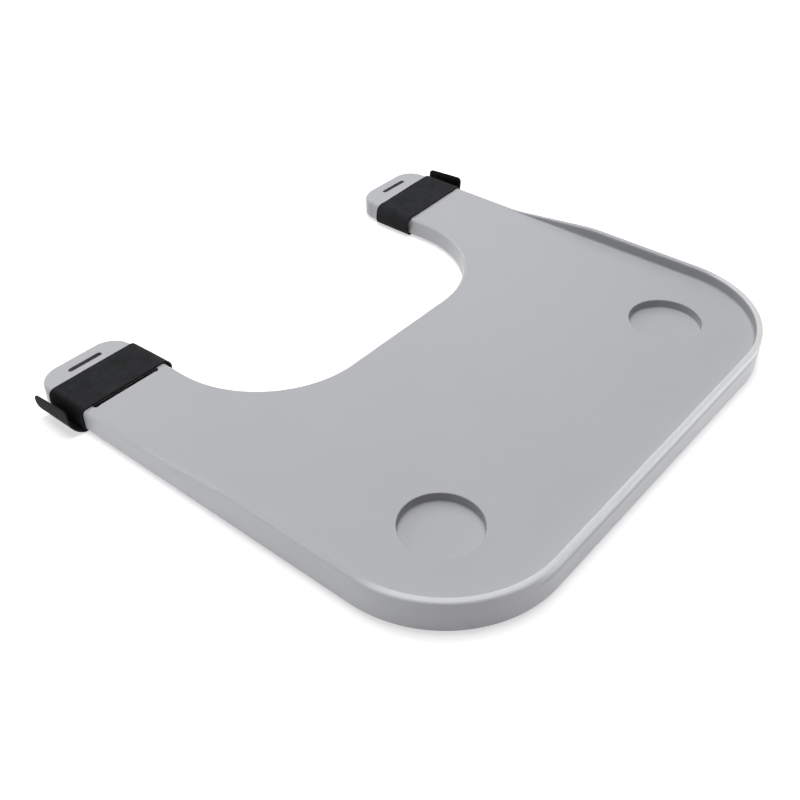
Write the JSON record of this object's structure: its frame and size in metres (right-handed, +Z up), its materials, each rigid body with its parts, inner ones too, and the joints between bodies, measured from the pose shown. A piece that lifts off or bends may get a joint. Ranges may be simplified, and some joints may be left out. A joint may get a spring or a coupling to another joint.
{
  "type": "wheelchair tray",
  "caption": "Moulded lap tray with a raised front rim, round cup recesses, a waist cut-out, and hook-and-loop straps that hold its two arms to a wheelchair's armrests.",
  "frame": {"origin": "middle of the whole object's footprint, level with the undersides of the two straps", "axes": "+X to the right across the tray as seen by its user from behind, +Y from the front edge towards the arms, +Z up"},
  "size_m": [0.6116, 0.532, 0.0376],
  "materials": {
    "tray_plastic": "light grey moulded plastic, satin",
    "strap_webbing": "charcoal brushed loop webbing, matt",
    "hook_tape": "black woven hook tape, matt"
  },
  "bodies": {
    "tray": {"tray": "tray_plastic"},
    "strap_left": {"strap_band_left": "strap_webbing"},
    "strap_right": {"strap_band_right": "strap_webbing"},
    "tab_left": {"strap_tab_left": "strap_webbing", "hook_patch_left": "hook_tape"},
    "tab_right": {"strap_tab_right": "strap_webbing", "hook_patch_right": "hook_tape"}
  },
  "joints": [
    {"name": "strap_slide_left", "type": "slide", "parent": "tray", "child": "strap_left", "axis": [0, 1, 0], "range_m": [-0.025, 0.025]},
    {"name": "strap_slide_right", "type": "slide", "parent": "tray", "child": "strap_right", "axis": [0, 1, 0], "range_m": [-0.022, 0.025]},
    {"name": "tab_peel_left", "type": "hinge", "parent": "strap_left", "child": "tab_left", "pos_m": [-0.29113, 0.21095, 0.00102], "axis": [0, -1, 0], "range_deg": [-15, 90]},
    {"name": "tab_peel_right", "type": "hinge", "parent": "strap_right", "child": "tab_right", "pos_m": [0.29113, 0.20745, 0.00102], "axis": [0, 1, 0], "range_deg": [-15, 90]}
  ]
}
